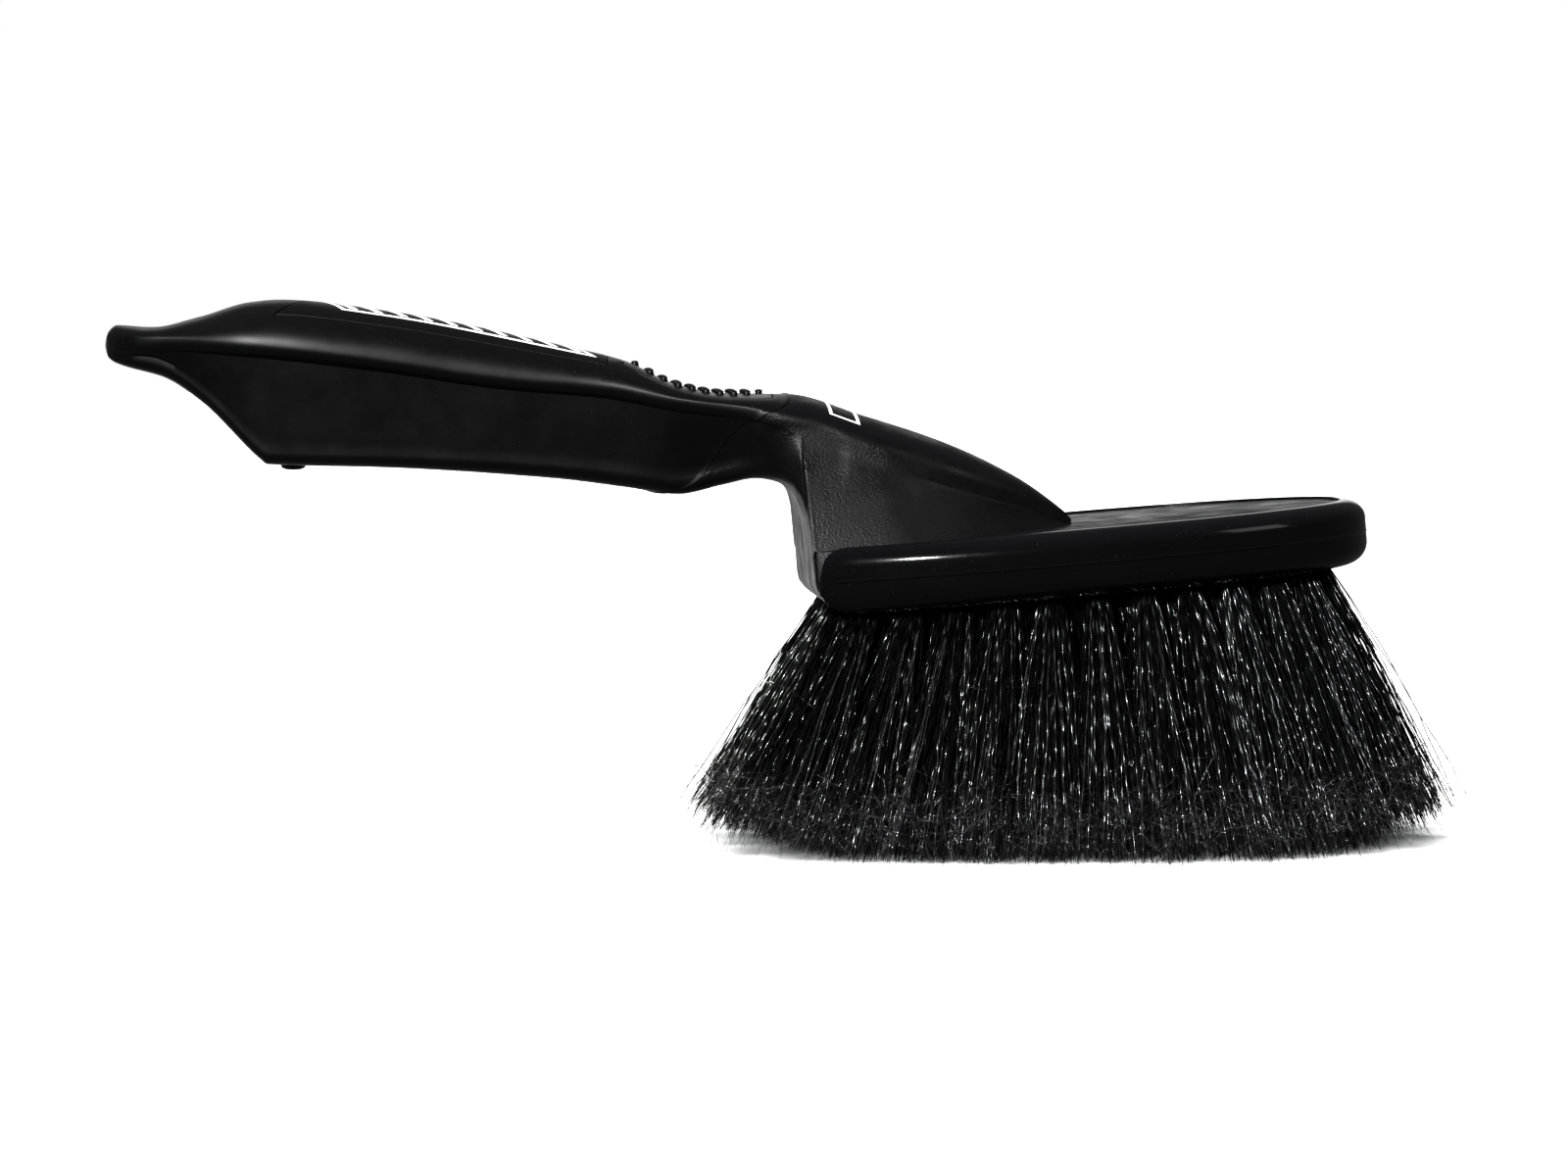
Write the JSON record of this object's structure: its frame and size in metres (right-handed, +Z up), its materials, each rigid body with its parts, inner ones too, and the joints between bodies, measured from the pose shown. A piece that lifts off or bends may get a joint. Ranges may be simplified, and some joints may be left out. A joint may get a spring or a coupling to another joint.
{
  "type": "wheel brush",
  "caption": "Hand brush with an oval soft-edged head, flared flagged bristles and a raised soft-grip handle with a studded thumb rest.",
  "frame": {"origin": "centre of the bounding box on the plane of the bristle tips, which is what the brush stands on", "axes": "+X along the brush from the tail of the handle to the nose of the head, +Y across to the left side, +Z up"},
  "size_m": [0.2721, 0.101, 0.1102],
  "materials": {
    "moulding_pp": "fine-grained black polypropylene",
    "grip_tpr": "satin black thermoplastic rubber",
    "panel_pp": "smooth black plastic with plain white marks",
    "bumper_tpr": "satin black thermoplastic rubber",
    "bristle_pbt": "black crimped filament with flagged grey tips",
    "anchor_steel": "galvanised flat wire"
  },
  "bodies": {
    "root": {"body_moulding": "moulding_pp", "grip_overmould": "grip_tpr", "top_panel": "panel_pp", "thumb_pad": "grip_tpr", "bumper": "bumper_tpr", "tufts_outer_heel": "bristle_pbt", "tufts_outer_right": "bristle_pbt", "tufts_outer_nose": "bristle_pbt", "tufts_outer_left": "bristle_pbt", "tufts_second_right": "bristle_pbt", "tufts_second_nose": "bristle_pbt", "tufts_second_left": "bristle_pbt", "tufts_third_right": "bristle_pbt", "tufts_third_left": "bristle_pbt", "tufts_centre": "bristle_pbt", "anchors_outer_heel": "anchor_steel", "anchors_outer_right": "anchor_steel", "anchors_outer_nose": "anchor_steel", "anchors_outer_left": "anchor_steel", "anchors_second_right": "anchor_steel", "anchors_second_nose": "anchor_steel", "anchors_second_left": "anchor_steel", "anchors_third_right": "anchor_steel", "anchors_third_left": "anchor_steel", "anchors_centre": "anchor_steel"}
  },
  "joints": []
}
